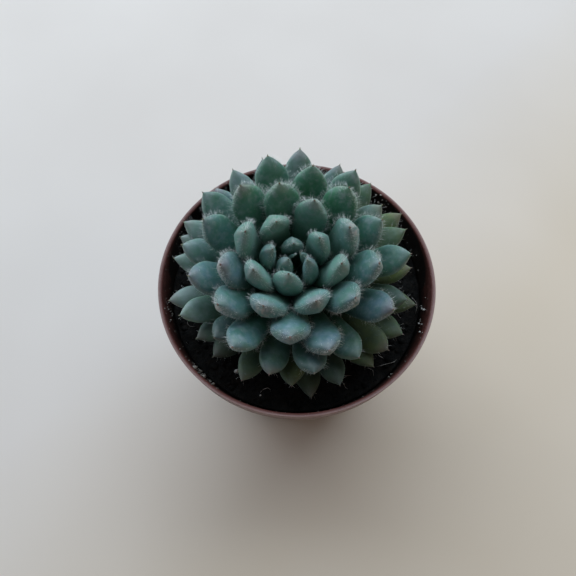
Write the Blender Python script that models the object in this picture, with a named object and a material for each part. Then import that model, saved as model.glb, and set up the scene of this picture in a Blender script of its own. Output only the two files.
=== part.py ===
"""A potted echeveria: a thin tapered pot, its soil and one rosette of thick, keeled leaves.

Metres, +Z up. The origin is at the centre of the pot's foot, on the surface that it stands on.
The plant leans a little towards -Y, where its lowest leaves reach furthest.
"""
import math
import random

import bmesh
import bpy
from mathutils import Matrix, Vector, noise

MM = 0.001

# Pot: heights are above the surface that it stands on
POT_HEIGHT = 48.0 * MM
RIM_RADIUS = 27.5 * MM
LIP_WIDTH = 0.75 * MM
LIP_ROUND = 0.3 * MM
BAND_HEIGHT = 4.6 * MM
BAND_DRAFT = 0.3 * MM
WALL = 0.8 * MM
INNER_FLOOR_RADIUS = 18.9 * MM
FLOOR_TOP = 1.8 * MM
FLOOR_FILLET = 0.8 * MM
FOOT_WIDTH = 2.8 * MM
FOOT_RECESS = 0.8 * MM
DRAIN_HOLES = 6
DRAIN_HOLE_RADIUS = 2.0 * MM
DRAIN_CIRCLE_RADIUS = 11.0 * MM
DRAIN_HOLE_SIDES = 12
DRAIN_CUTTER_DEPTH = 3.0 * FLOOR_TOP
POT_SIDES = 48

# Soil
SOIL_LEVEL = 43.0 * MM
SOIL_GAP = 0.3 * MM
SOIL_MOUND = 0.4 * MM
SOIL_RINGS = 11
LUMP_SIZE = 6.0 * MM
LUMP_HEIGHT = 0.4 * MM
CRUMB_SIZE = 2.3 * MM
CRUMB_HEIGHT = 0.4 * MM

# Stem, in the plant's own frame: its origin is where the stem leaves the soil
STEM_FOOT = Vector((-0.7 * MM, 0.6 * MM, SOIL_LEVEL))
LEAN_FORWARD = math.radians(8.3)
LEAN_SIDEWAYS = math.radians(1.4)
STEM_DEPTH = 9.0 * MM
STEM_RADIUS = 3.4 * MM
STEM_BEND = 0.5 * MM
STEM_STATIONS = ((3.3 * MM, 0.9 * MM), (2.9 * MM, 4.5 * MM), (2.5 * MM, 8.1 * MM), (1.2 * MM, 9.0 * MM))
STEM_SIDES = 12
HOLE_DEPTH = 9.6 * MM
HOLE_RADIUS = STEM_RADIUS + SOIL_GAP

# Leaves: leaf 0 is the youngest, at the centre
LEAF_COUNT = 67
BUD_COUNT = 2
OUTER_LEAF = 60
FIRST_AZIMUTH = math.radians(234.5)
DIVERGENCE = math.radians(138.37)
DIVERGENCE_DRIFT = math.radians(48.6)
# Tip radius and height as sums of (size, power of the leaf's age)
TIP_RADIUS_TERMS = ((1.1 * MM, 0), (3.1 * MM, 0.5), (47.6 * MM, 1), (-29.0 * MM, 2))
TIP_HEIGHT_TERMS = ((19.0 * MM, 0), (28.0 * MM, 1), (-88.0 * MM, 2), (49.0 * MM, 3))
ROOT_TOP = 8.5 * MM
ROOT_LOW = 3.5 * MM
ROOT_TOP_RADIUS = 0.6 * MM
ROOT_LOW_RADIUS = 2.4 * MM
LEAF_WIDTH = 6.8 * MM
BUD_START = 2.6
BUD_LEAVES = 3.8
OUTER_NARROWING = 0.27
NARROWING_START = 0.33
NARROWING_END = 0.75
BUD_ROOT_SHARE = 0.75
ROOT_WIDTH_SHARE = 0.32
SLENDER_FROM = 14
TIP_LENGTH = 4.8 * MM
TIP_LENGTH_SHARE = 0.42
INNER_BLUNTNESS = 2.5
OUTER_BLUNTNESS = 2.0
THICK_TIP = 1.6
WAIST_POWER = 1.5
EDGE_POWER = 0.85
MUCRO_LENGTH = 0.4 * MM
BUD_UPPER_SHARE = 0.28
UPPER_BULGE_SHARE = 0.21
BUD_LOWER_SHARE = 0.45
LOWER_BULGE_SHARE = 0.33
FLAT_FROM = 9
KEEL_SHARE = 0.32
INNER_ROOT_CURL = math.radians(42.0)
OUTER_ROOT_CURL = math.radians(12.0)
INNER_TIP_CURL = math.radians(20.0)
OUTER_TIP_CURL = math.radians(14.0)
LEAF_SIDES = 8
BLADE_STATIONS = (0.0, 0.35, 0.7, 1.0)
TIP_STATIONS = (0.45, 0.76, 0.94)
MIDLINE_STEPS = 24
GROWTH_SEED = 7
WIDTH_VARIES = 0.04
CURL_VARIES = 0.15
ROLL_VARIES = 7.0

# Leaves that grew out of line. turn, twist and curl are in degrees: curl bows the leaf outwards.
# reach and lift move its tip out and up, in millimetres, and wide is a share of its width
ODD_LEAVES = {
    -1: {"reach": 0.3},
    0: {"turn": -17, "reach": 0.5, "lift": 0.1, "wide": 1.2},
    1: {"turn": 10, "reach": -0.4},
    2: {"turn": 5, "reach": -0.9, "lift": 0.6, "twist": 35, "wide": 0.85},
    3: {"turn": -4, "curl": 8, "wide": 0.85},
    4: {"turn": -10, "reach": -0.5, "lift": 1.0, "wide": 0.92},
    5: {"turn": -9, "reach": -1.5},
    6: {"turn": 1, "reach": -0.3, "curl": 16},
    7: {"turn": -1, "reach": 0.6, "twist": -10, "curl": 4, "wide": 0.95},
    8: {"twist": 10},
    9: {"turn": 3, "reach": 0.8},
    10: {"twist": 12},
    11: {"turn": 9, "reach": -1.0, "lift": 0.4, "twist": 12, "curl": 14},
    12: {"turn": 10, "reach": -1.0, "lift": 0.4, "curl": 12},
    13: {"turn": 5, "reach": -0.3},
    14: {"turn": 6, "reach": 0.5},
    16: {"turn": 10, "reach": -0.3},
    17: {"turn": 8, "reach": 1.1},
    18: {"reach": 0.4},
    19: {"turn": 1, "reach": 0.6},
    20: {"turn": 2, "reach": -1.3},
    21: {"turn": 3},
    22: {"turn": 5, "reach": 0.3},
    23: {"turn": -9, "reach": 0.6},
    25: {"turn": 2, "reach": -1.3},
    26: {"turn": -7, "reach": 1.0},
    27: {"turn": -1, "reach": 1.3},
    28: {"turn": 2},
    29: {"reach": -0.5},
    30: {"turn": 4, "reach": 0.7},
    31: {"turn": 3, "reach": 0.2},
    32: {"turn": 5, "reach": 0.8},
    33: {"turn": 3},
    34: {"turn": 2, "reach": -1.3},
    35: {"turn": 2, "reach": 1.4},
    36: {"turn": -6, "reach": -1.2},
    37: {"reach": -0.9},
    38: {"turn": 2, "reach": -1.9},
    39: {"turn": 1, "reach": -1.7},
    40: {"turn": 3, "reach": 0.2},
    41: {"turn": 1, "reach": -1.2},
    45: {"turn": 4},
    46: {"turn": 5, "reach": -0.3},
    47: {"turn": 7, "reach": -0.5},
    48: {"turn": 4, "reach": 0.9},
    49: {"turn": 4},
    50: {"turn": 7, "reach": 0.7},
    51: {"reach": 0.5},
    52: {"turn": 4, "reach": 0.4, "lift": -1.5},
    53: {"turn": -4},
    54: {"turn": 3, "reach": -0.8},
    55: {"turn": 5, "reach": -1.2},
    58: {"turn": 1, "reach": 0.4},
    59: {"turn": -5, "reach": 1.9},
    60: {"turn": 10, "reach": -1.0, "lift": 2.5},
    62: {"reach": 1.5},
    63: {"turn": 7},
    65: {"turn": 23, "reach": 1.0, "lift": 2.0, "wide": 1.15},
    66: {"turn": 5, "reach": 1.2, "lift": 1.5},
}

POT_COLOUR = (0.165, 0.075, 0.068, 1.0)
SOIL_COLOUR = (0.012, 0.009, 0.007, 1.0)
LEAF_COLOUR = (0.105, 0.205, 0.170, 1.0)
POT_ROUGHNESS = 0.42
SOIL_ROUGHNESS = 0.95
LEAF_ROUGHNESS = 0.5

# Edges sharper than these are shown as edges
POT_EDGE = math.radians(35.0)
SOIL_EDGE = math.radians(50.0)
LEAF_EDGE = math.radians(60.0)


def clear_scene():
    for item in list(bpy.data.objects):
        bpy.data.objects.remove(item, do_unlink=True)


def plain_material(name, colour, roughness):
    material = bpy.data.materials.new(name)
    material.use_nodes = True
    shader = material.node_tree.nodes["Principled BSDF"]
    shader.inputs["Base Color"].default_value = colour
    shader.inputs["Roughness"].default_value = roughness
    shader.inputs["Metallic"].default_value = 0.0
    return material


def new_object(name, mesh_data, material):
    mesh = bpy.data.meshes.new(name)
    mesh_data.to_mesh(mesh)
    mesh_data.free()
    mesh.materials.append(material)
    item = bpy.data.objects.new(name, mesh)
    bpy.context.scene.collection.objects.link(item)
    return item


def smooth_round(item, angle):
    item.data.shade_smooth()
    item.data.set_sharp_from_angle(angle=angle)


def mix(start, end, share):
    return start + (end - start) * share


def loft(rings, closed_ends=True):
    """Skin a list of rings, each with the same number of points, into one closed body."""
    solid = bmesh.new()
    rows = [[solid.verts.new(point) for point in ring] for ring in rings]
    sides = len(rings[0])
    for lower, upper in zip(rows, rows[1:]):
        for side in range(sides):
            after = (side + 1) % sides
            solid.faces.new((lower[side], lower[after], upper[after], upper[side]))
    if closed_ends:
        solid.faces.new(list(reversed(rows[0])))
        solid.faces.new(rows[-1])
        bmesh.ops.recalc_face_normals(solid, faces=solid.faces)
    return solid


def circle(radius, height, sides):
    angles = [2.0 * math.pi * side / sides for side in range(sides)]
    return [Vector((radius * math.cos(a), radius * math.sin(a), height)) for a in angles]


# Pot

def inner_radius(height):
    """The pot's inner wall: a straight cone from the floor to the lip."""
    share = (height - FLOOR_TOP) / (POT_HEIGHT - FLOOR_TOP)
    return mix(INNER_FLOOR_RADIUS, RIM_RADIUS - LIP_WIDTH, share)


def pot_profile():
    """The pot's section as (radius, height), from the recess under it, up outside and down inside."""
    band_foot = POT_HEIGHT - BAND_HEIGHT
    base_radius = inner_radius(0.0) + WALL
    foot_inner = base_radius - FOOT_WIDTH
    lip_inner = RIM_RADIUS - LIP_WIDTH
    return [
        (foot_inner - 0.5 * FOOT_RECESS, FOOT_RECESS),
        (foot_inner, 0.0),
        (base_radius - LIP_ROUND, 0.0),
        (base_radius, LIP_ROUND),
        (inner_radius(band_foot) + WALL, band_foot),
        (RIM_RADIUS - BAND_DRAFT, band_foot + 0.5 * LIP_ROUND),
        (RIM_RADIUS, POT_HEIGHT - LIP_ROUND),
        (RIM_RADIUS - LIP_ROUND, POT_HEIGHT),
        (lip_inner + LIP_ROUND, POT_HEIGHT),
        (lip_inner, POT_HEIGHT - LIP_ROUND),
        (inner_radius(FLOOR_TOP + FLOOR_FILLET), FLOOR_TOP + FLOOR_FILLET),
        (INNER_FLOOR_RADIUS - FLOOR_FILLET, FLOOR_TOP),
    ]


def drain_cutter():
    cutter = bmesh.new()
    for hole in range(DRAIN_HOLES):
        turn = Matrix.Rotation(2.0 * math.pi * (hole + 0.5) / DRAIN_HOLES, 4, "Z")
        place = turn @ Matrix.Translation((DRAIN_CIRCLE_RADIUS, 0.0, 0.5 * FLOOR_TOP))
        bmesh.ops.create_cone(
            cutter, cap_ends=True, segments=DRAIN_HOLE_SIDES, radius1=DRAIN_HOLE_RADIUS,
            radius2=DRAIN_HOLE_RADIUS, depth=DRAIN_CUTTER_DEPTH, matrix=place)
    return cutter


def make_pot():
    rings = [circle(radius, height, POT_SIDES) for radius, height in pot_profile()]
    material = plain_material("pot_plastic", POT_COLOUR, POT_ROUGHNESS)
    pot = new_object("pot", loft(rings), material)
    cutter = new_object("pot_drain_cutter", drain_cutter(), material)
    cutter.hide_render = True
    cutter.display_type = "WIRE"
    cut = pot.modifiers.new("drain_holes", "BOOLEAN")
    cut.operation = "DIFFERENCE"
    cut.object = cutter
    smooth_round(pot, POT_EDGE)
    return pot


# Soil

def soil_height(point):
    """Height of the soil's surface, with a low mound at the stem, lumps and crumbs."""
    away = min(point.length / inner_radius(SOIL_LEVEL), 1.0)
    lumps = LUMP_HEIGHT * noise.noise(point / LUMP_SIZE)
    crumbs = CRUMB_HEIGHT * noise.noise(point / CRUMB_SIZE)
    return SOIL_LEVEL - SOIL_MOUND * away * away + lumps + crumbs


def soil_surface_ring(share):
    """One ring of the surface, from the stem's hole (0) to the pot's wall (1)."""
    ring = []
    foot = Vector((STEM_FOOT.x, STEM_FOOT.y, 0.0))
    wall_radius = inner_radius(SOIL_LEVEL - SOIL_MOUND) - SOIL_GAP
    for near, far in zip(circle(HOLE_RADIUS, 0.0, POT_SIDES), circle(wall_radius, 0.0, POT_SIDES)):
        point = mix(near + foot, far, share)
        height = soil_height(point)
        if share == 1.0:
            point *= (inner_radius(height) - SOIL_GAP) / wall_radius
        ring.append(Vector((point.x, point.y, height)))
    return ring


def make_soil():
    bottom = FLOOR_TOP + SOIL_GAP
    hole_foot = Vector((STEM_FOOT.x, STEM_FOOT.y, SOIL_LEVEL - HOLE_DEPTH))
    rings = [[point + hole_foot for point in circle(HOLE_RADIUS, 0.0, POT_SIDES)]]
    rings += [soil_surface_ring(step / SOIL_RINGS) for step in range(SOIL_RINGS + 1)]
    rings.append(circle(inner_radius(bottom + FLOOR_FILLET) - SOIL_GAP, bottom + FLOOR_FILLET, POT_SIDES))
    rings.append(circle(inner_radius(bottom) - SOIL_GAP - FLOOR_FILLET, bottom, POT_SIDES))
    material = plain_material("soil_mix", SOIL_COLOUR, SOIL_ROUGHNESS)
    soil = new_object("soil", loft(rings), material)
    smooth_round(soil, SOIL_EDGE)
    return soil


# Rosette

def plant_to_row(point):
    """Lean a point of the plant over its foot, and put it in the pot."""
    lean = Matrix.Rotation(LEAN_SIDEWAYS, 3, "Y") @ Matrix.Rotation(LEAN_FORWARD, 3, "X")
    return lean @ point + STEM_FOOT


def stem_rings():
    """The stem: upright in its hole, then leaning with the plant up to a domed top."""
    rings = []
    for height in (-STEM_DEPTH, -STEM_BEND):
        rings.append([point + STEM_FOOT for point in circle(STEM_RADIUS, height, STEM_SIDES)])
    for radius, height in STEM_STATIONS:
        ring = circle(radius, height, STEM_SIDES)
        rings.append([plant_to_row(point) for point in ring])
    return rings


def leaf_plan(number, draws):
    """Where one leaf starts and ends, and how wide and how curled it is."""
    age = max(number, 0) / OUTER_LEAF
    odd = ODD_LEAVES.get(number, {})
    azimuth = FIRST_AZIMUTH - DIVERGENCE * number + DIVERGENCE_DRIFT * age * age
    azimuth += math.radians(odd.get("turn", 0))
    bowed = math.radians(odd.get("curl", 0))
    tip_radius = odd.get("reach", 0.0) * MM + sum(size * age ** power for size, power in TIP_RADIUS_TERMS)
    if number < 0:
        tip_radius *= (number + BUD_COUNT) / BUD_COUNT
    tip_height = odd.get("lift", 0.0) * MM + sum(size * age ** power for size, power in TIP_HEIGHT_TERMS)
    grown = min(age, 1.0)
    broad = min(max(number, 0) / SLENDER_FROM, 1.0)
    flat = min(max(number, 0) / FLAT_FROM, 1.0)
    curl = mix(INNER_TIP_CURL, OUTER_TIP_CURL, grown)
    width = LEAF_WIDTH * (1.0 - math.exp(-(number + BUD_START) / BUD_LEAVES))
    narrowing = (age - NARROWING_START) / (NARROWING_END - NARROWING_START)
    width *= 1.0 - OUTER_NARROWING * min(max(narrowing, 0.0), 1.0)
    return {
        "azimuth": azimuth,
        "root": (mix(ROOT_TOP_RADIUS, ROOT_LOW_RADIUS, math.sqrt(grown)), mix(ROOT_TOP, ROOT_LOW, grown)),
        "tip": (tip_radius, tip_height),
        "width": width * odd.get("wide", 1.0) * (1.0 + draws.uniform(-WIDTH_VARIES, WIDTH_VARIES)),
        "bluntness": mix(INNER_BLUNTNESS, OUTER_BLUNTNESS, grown),
        "root_curl": mix(INNER_ROOT_CURL, OUTER_ROOT_CURL, grown) + bowed,
        "tip_curl": curl * (1.0 + draws.uniform(-CURL_VARIES, CURL_VARIES)) + bowed,
        "roll": math.radians(odd.get("twist", 0) + draws.uniform(-ROLL_VARIES, ROLL_VARIES)),
        "root_share": mix(BUD_ROOT_SHARE, ROOT_WIDTH_SHARE, broad),
        "upper_share": mix(BUD_UPPER_SHARE, UPPER_BULGE_SHARE, flat),
        "lower_share": mix(BUD_LOWER_SHARE, LOWER_BULGE_SHARE, flat),
    }


def bend_point(plan):
    """Where the lines through a leaf's root and tip meet: its middle line is a curve drawn to it."""
    root = Vector(plan["root"])
    chord = Vector(plan["tip"]) - root
    below = Vector((chord.y, -chord.x))
    root_curl = plan["root_curl"]
    tip_curl = plan["tip_curl"]
    direction = chord * math.cos(root_curl) + below * math.sin(root_curl)
    return root + direction * (math.sin(tip_curl) / math.sin(tip_curl + root_curl))


def curve_point(plan, t):
    """Point and direction of a leaf's middle line, as (radius, height), between its ends at 0 and 1."""
    root = Vector(plan["root"])
    tip = Vector(plan["tip"])
    bend = bend_point(plan)
    point = root * (1.0 - t) ** 2 + bend * (2.0 * t * (1.0 - t)) + tip * t ** 2
    direction = (bend - root) * (1.0 - t) + (tip - bend) * t
    return point, direction.normalized()


def step_lengths(plan):
    """Lengths of the steps that a leaf's middle line is measured in."""
    points = [curve_point(plan, step / MIDLINE_STEPS)[0] for step in range(MIDLINE_STEPS + 1)]
    return [(after - before).length for before, after in zip(points, points[1:])]


def leaf_midline(plan, share):
    """Point and direction at a share of a leaf's length, as (radius, height) pairs."""
    lengths = step_lengths(plan)
    left = share * sum(lengths)
    step = 0
    while step < MIDLINE_STEPS - 1 and left > lengths[step]:
        left -= lengths[step]
        step += 1
    return curve_point(plan, (step + left / lengths[step]) / MIDLINE_STEPS)


def widest_place(plan):
    """Where a leaf is widest, between its root (0) and its tip (1)."""
    return 1.0 - min(TIP_LENGTH / sum(step_lengths(plan)), TIP_LENGTH_SHARE)


def leaf_sizes(plan, share):
    """Half width, upper bulge, lower bulge and keel at a share of a leaf's length from its root."""
    widest = widest_place(plan)
    if share < widest:
        spread = mix(plan["root_share"], 1.0, math.sin(0.5 * math.pi * share / widest) ** WAIST_POWER)
        thick = spread
    else:
        to_tip = (share - widest) / (1.0 - widest)
        spread = 1.0 - to_tip ** plan["bluntness"]
        thick = 1.0 - to_tip ** (THICK_TIP * plan["bluntness"])
    width = plan["width"]
    keel = KEEL_SHARE * min(share / widest, 1.0) ** 2
    upper = plan["upper_share"] * width * thick
    lower = plan["lower_share"] * width * thick
    return 0.5 * width * spread, upper, lower, keel


def leaf_point(plan, share, angle):
    """A point of a leaf's skin: angle 0 is one margin, 90 degrees the upper face, 270 the keel."""
    (radius, height), (out, up) = leaf_midline(plan, share)
    half_width, upper, lower, keel = leaf_sizes(plan, share)
    across = math.cos(angle)
    rounded = abs(math.sin(angle)) ** EDGE_POWER
    if math.sin(angle) >= 0.0:
        lift = upper * rounded
    else:
        lift = -lower * mix(rounded, 1.0 - abs(across), keel)
    side = half_width * across
    roll = plan["roll"]
    side, lift = side * math.cos(roll) - lift * math.sin(roll), side * math.sin(roll) + lift * math.cos(roll)
    point = Vector((radius - up * lift, side, height + out * lift))
    return plant_to_row(Matrix.Rotation(plan["azimuth"], 3, "Z") @ point)


def mucro_point(plan):
    """The end of the short hard point that a leaf's tip runs out in."""
    (radius, height), (out, up) = leaf_midline(plan, 1.0)
    reach = MUCRO_LENGTH * plan["width"] / LEAF_WIDTH
    end = Vector((radius + out * reach, 0.0, height + up * reach))
    return plant_to_row(Matrix.Rotation(plan["azimuth"], 3, "Z") @ end)


def leaf_solid(plan):
    angles = [2.0 * math.pi * side / LEAF_SIDES for side in range(LEAF_SIDES)]
    widest = widest_place(plan)
    stations = [widest * share for share in BLADE_STATIONS]
    stations += [mix(widest, 1.0, share) for share in TIP_STATIONS]
    rings = [[leaf_point(plan, t, angle) for angle in angles] for t in stations]
    solid = loft(rings, closed_ends=False)
    solid.verts.ensure_lookup_table()
    first = solid.verts[:LEAF_SIDES]
    last = solid.verts[-LEAF_SIDES:]
    solid.faces.new(list(reversed(first)))
    tip = solid.verts.new(mucro_point(plan))
    for side in range(LEAF_SIDES):
        solid.faces.new((last[side], last[(side + 1) % LEAF_SIDES], tip))
    bmesh.ops.recalc_face_normals(solid, faces=solid.faces)
    return solid


def keep_outer_skin(item):
    """Drop what the union leaves inside the plant or loose beside it: all but its largest shell."""
    skin = bmesh.new()
    skin.from_mesh(item.data)
    waiting = set(skin.verts)
    shells = []
    while waiting:
        shell = {waiting.pop()}
        edge = list(shell)
        while edge:
            for link in edge.pop().link_edges:
                for vert in link.verts:
                    if vert in waiting:
                        waiting.discard(vert)
                        shell.add(vert)
                        edge.append(vert)
        shells.append(shell)
    shells.sort(key=len)
    for shell in shells[:-1]:
        bmesh.ops.delete(skin, geom=list(shell), context="VERTS")
    skin.to_mesh(item.data)
    skin.free()


def make_rosette():
    material = plain_material("leaf_skin", LEAF_COLOUR, LEAF_ROUGHNESS)
    rosette = new_object("rosette", loft(stem_rings()), material)
    leaves = bpy.data.collections.new("leaves")
    bpy.context.scene.collection.children.link(leaves)
    draws = random.Random(GROWTH_SEED)
    for number in range(-BUD_COUNT, LEAF_COUNT):
        leaf = new_object("leaf", leaf_solid(leaf_plan(number, draws)), material)
        bpy.context.scene.collection.objects.unlink(leaf)
        leaves.objects.link(leaf)
    join = rosette.modifiers.new("grown_together", "BOOLEAN")
    join.operation = "UNION"
    join.operand_type = "COLLECTION"
    join.collection = leaves
    bpy.context.view_layer.objects.active = rosette
    bpy.ops.object.modifier_apply(modifier=join.name)
    for leaf in list(leaves.objects):
        bpy.data.objects.remove(leaf, do_unlink=True)
    bpy.data.collections.remove(leaves)
    keep_outer_skin(rosette)
    smooth_round(rosette, LEAF_EDGE)
    return rosette


clear_scene()
make_pot()
make_soil()
make_rosette()
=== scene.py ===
"""Looks of a potted echeveria: waxy leaves with white bristles, crumbly soil and a moulded pot.

Metres, +Z up. The origin is at the centre of the pot's foot. The plant leans a little towards -Y.
"""
import math
import random

import bmesh
import bpy
import numpy as np
from mathutils import Matrix, Vector, noise


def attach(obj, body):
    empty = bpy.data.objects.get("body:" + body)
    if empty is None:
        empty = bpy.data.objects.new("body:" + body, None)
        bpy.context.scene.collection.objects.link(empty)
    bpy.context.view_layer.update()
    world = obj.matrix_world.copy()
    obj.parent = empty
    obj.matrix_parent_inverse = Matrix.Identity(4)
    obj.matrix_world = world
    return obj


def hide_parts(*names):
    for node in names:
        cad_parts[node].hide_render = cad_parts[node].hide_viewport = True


MM = 0.001

# Pot: heights are above the surface it stands on
POT_HEIGHT = 48.0 * MM
RIM_RADIUS = 27.5 * MM
LIP_WIDTH = 0.75 * MM
BAND_HEIGHT = 4.6 * MM
BAND_DRAFT = 0.3 * MM
BAND_STEP = 0.15 * MM
WALL = 0.8 * MM
INNER_FLOOR_RADIUS = 18.9 * MM
FLOOR_TOP = 1.8 * MM
FLOOR_FILLET = 0.8 * MM
FOOT_WIDTH = 2.8 * MM
FOOT_RECESS = 0.8 * MM
DRAIN_HOLES = 6
DRAIN_HOLE_RADIUS = 2.0 * MM
DRAIN_CIRCLE_RADIUS = 11.0 * MM
DRAIN_HOLE_SIDES = 40
DRAIN_CUT_DEPTH = 3.0 * FLOOR_TOP
POT_SIDES = 240
ROUNDING_STEPS = 5
LIP_SLOPE = 0.2 * MM
SHARP_ANGLE = math.radians(40.0)
# Small dips in the lip: their depth, their size and the share of the height that they start at
LIP_WAVE = 0.10 * MM
LIP_WAVE_SIZE = 9.0 * MM
LIP_WAVE_FROM = 0.8
# Reach of the rubbed lip with its painted highlight and of the soil stains with their painted shade,
# and how near to the inner wall or floor counts as on it
WORN_AND_HIGHLIT_WIDTH = 0.25 * MM
STAIN_AND_SHADE_DEPTH = 5.4 * MM
ON_WALL = 0.05 * MM
ON_FLOOR = 0.01 * MM

# Soil
SOIL_LEVEL = 43.0 * MM
SOIL_GAP = 0.3 * MM
SOIL_MOUND = 0.4 * MM
SOIL_RINGS = 80
LUMP_SIZE = 6.0 * MM
LUMP_HEIGHT = 0.4 * MM
CRUMB_SIZE = 2.3 * MM
CRUMB_HEIGHT = 0.4 * MM
GRIT_SIZE = 0.9 * MM
GRIT_HEIGHT = 0.22 * MM

# Stem, in the plant's own frame: its origin is where the stem leaves the soil
STEM_FOOT = Vector((-0.7 * MM, 0.6 * MM, SOIL_LEVEL))
LEAN_FORWARD = math.radians(8.3)
LEAN_SIDEWAYS = math.radians(1.4)
STEM_DEPTH = 9.0 * MM
STEM_RADIUS = 3.4 * MM
STEM_BEND = 0.5 * MM
STEM_STATIONS = ((3.3 * MM, 0.9 * MM), (2.9 * MM, 4.5 * MM), (2.5 * MM, 8.1 * MM), (1.2 * MM, 9.0 * MM))
STEM_SIDES = 40
STEM_RINGS = 24
SCAR_DEPTH = 0.10 * MM
SCAR_SPACING = 3
HOLE_DEPTH = 9.6 * MM
HOLE_RADIUS = STEM_RADIUS + SOIL_GAP
# Turns an upright plant to the way it leans
LEAN = Matrix.Rotation(LEAN_SIDEWAYS, 3, "Y") @ Matrix.Rotation(LEAN_FORWARD, 3, "X")

# Leaves: leaf 0 is the youngest, at the centre
LEAF_COUNT = 67
BUD_COUNT = 2
OUTER_LEAF = 60
FIRST_AZIMUTH = math.radians(234.5)
DIVERGENCE = math.radians(138.37)
DIVERGENCE_DRIFT = math.radians(48.6)
# Tip radius and height as sums of (size, power of the leaf's age)
TIP_RADIUS_TERMS = ((1.1 * MM, 0), (3.1 * MM, 0.5), (47.6 * MM, 1), (-29.0 * MM, 2))
TIP_HEIGHT_TERMS = ((19.0 * MM, 0), (28.0 * MM, 1), (-88.0 * MM, 2), (49.0 * MM, 3))
ROOT_TOP = 8.5 * MM
ROOT_LOW = 3.5 * MM
ROOT_TOP_RADIUS = 0.6 * MM
ROOT_LOW_RADIUS = 2.4 * MM
# Leaves widen from the buds outwards, and the outermost are narrower again
LEAF_WIDTH = 6.8 * MM
BUD_START = 2.6
BUD_LEAVES = 3.8
OUTER_NARROWING = 0.27
NARROWING_START = 0.33
NARROWING_END = 0.75
BUD_ROOT_SHARE = 0.75
ROOT_WIDTH_SHARE = 0.32
SLENDER_FROM = 14
TIP_LENGTH = 4.8 * MM
TIP_LENGTH_SHARE = 0.42
INNER_BLUNTNESS = 2.5
OUTER_BLUNTNESS = 2.0
THICK_TIP = 1.6
WAIST_POWER = 1.5
EDGE_POWER = 0.85
# The hard point at the tip, the mucro: its stations are (share of length, share of radius)
MUCRO_LENGTH = 0.4 * MM
MUCRO_RADIUS = 0.13 * MM
MUCRO_STATIONS = ((0.0, 1.0), (0.35, 0.75), (0.8, 0.35), (1.0, 0.05))
# Its points count as past the end of the leaf, so that the skin can tell them apart
MUCRO_ALONG = 1.02
# Bulges above and below the middle, as shares of the width
BUD_UPPER_SHARE = 0.28
UPPER_BULGE_SHARE = 0.21
BUD_LOWER_SHARE = 0.45
LOWER_BULGE_SHARE = 0.33
FLAT_FROM = 9
KEEL_SHARE = 0.32
INNER_ROOT_CURL = math.radians(42.0)
OUTER_ROOT_CURL = math.radians(12.0)
INNER_TIP_CURL = math.radians(20.0)
OUTER_TIP_CURL = math.radians(14.0)
# Mesh
LEAF_SIDES = 32
BLADE_RINGS = 14
TIP_RINGS = 13
TIP_END = 0.965
MIDLINE_STEPS = 24
# Seeded differences between leaves: the roll in degrees, and the step between draws of colour
GROWTH_SEED = 7
WIDTH_VARIES = 0.04
CURL_VARIES = 0.15
ROLL_VARIES = 7.0
COLOUR_STEP = 3.7
DENT_SIZE = 2.6 * MM
DENT_DEPTH = 0.15 * MM

# Leaves that grew out of line. turn, twist and curl are in degrees: curl bows the leaf outwards.
# reach and lift move its tip out and up, in millimetres, and wide is a share of its width
ODD_LEAVES = {
    -1: {"reach": 0.3}, 0: {"turn": -17, "reach": 0.5, "lift": 0.1, "wide": 1.2},
    1: {"turn": 10, "reach": -0.4},
    2: {"turn": 5, "reach": -0.9, "lift": 0.6, "twist": 35, "wide": 0.85},
    3: {"turn": -4, "curl": 8, "wide": 0.85},
    4: {"turn": -10, "reach": -0.5, "lift": 1.0, "wide": 0.92}, 5: {"turn": -9, "reach": -1.5},
    6: {"turn": 1, "reach": -0.3, "curl": 16},
    7: {"turn": -1, "reach": 0.6, "twist": -10, "curl": 4, "wide": 0.95}, 8: {"twist": 10},
    9: {"turn": 3, "reach": 0.8}, 10: {"twist": 12},
    11: {"turn": 9, "reach": -1.0, "lift": 0.4, "twist": 12, "curl": 14},
    12: {"turn": 10, "reach": -1.0, "lift": 0.4, "curl": 12}, 13: {"turn": 5, "reach": -0.3},
    14: {"turn": 6, "reach": 0.5}, 16: {"turn": 10, "reach": -0.3}, 17: {"turn": 8, "reach": 1.1},
    18: {"reach": 0.4}, 19: {"turn": 1, "reach": 0.6}, 20: {"turn": 2, "reach": -1.3}, 21: {"turn": 3},
    22: {"turn": 5, "reach": 0.3}, 23: {"turn": -9, "reach": 0.6}, 25: {"turn": 2, "reach": -1.3},
    26: {"turn": -7, "reach": 1.0}, 27: {"turn": -1, "reach": 1.3}, 28: {"turn": 2},
    29: {"reach": -0.5}, 30: {"turn": 4, "reach": 0.7}, 31: {"turn": 3, "reach": 0.2},
    32: {"turn": 5, "reach": 0.8}, 33: {"turn": 3}, 34: {"turn": 2, "reach": -1.3},
    35: {"turn": 2, "reach": 1.4}, 36: {"turn": -6, "reach": -1.2}, 37: {"reach": -0.9},
    38: {"turn": 2, "reach": -1.9}, 39: {"turn": 1, "reach": -1.7}, 40: {"turn": 3, "reach": 0.2},
    41: {"turn": 1, "reach": -1.2}, 45: {"turn": 4}, 46: {"turn": 5, "reach": -0.3},
    47: {"turn": 7, "reach": -0.5}, 48: {"turn": 4, "reach": 0.9}, 49: {"turn": 4},
    50: {"turn": 7, "reach": 0.7}, 51: {"reach": 0.5}, 52: {"turn": 4, "reach": 0.4, "lift": -1.5},
    53: {"turn": -4}, 54: {"turn": 3, "reach": -0.8}, 55: {"turn": 5, "reach": -1.2},
    58: {"turn": 1, "reach": 0.4}, 59: {"turn": -5, "reach": 1.9},
    60: {"turn": 10, "reach": -1.0, "lift": 2.5}, 62: {"reach": 1.5}, 63: {"turn": 7},
    65: {"turn": 23, "reach": 1.0, "lift": 2.0, "wide": 1.15},
    66: {"turn": 5, "reach": 1.2, "lift": 1.5},
}
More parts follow.
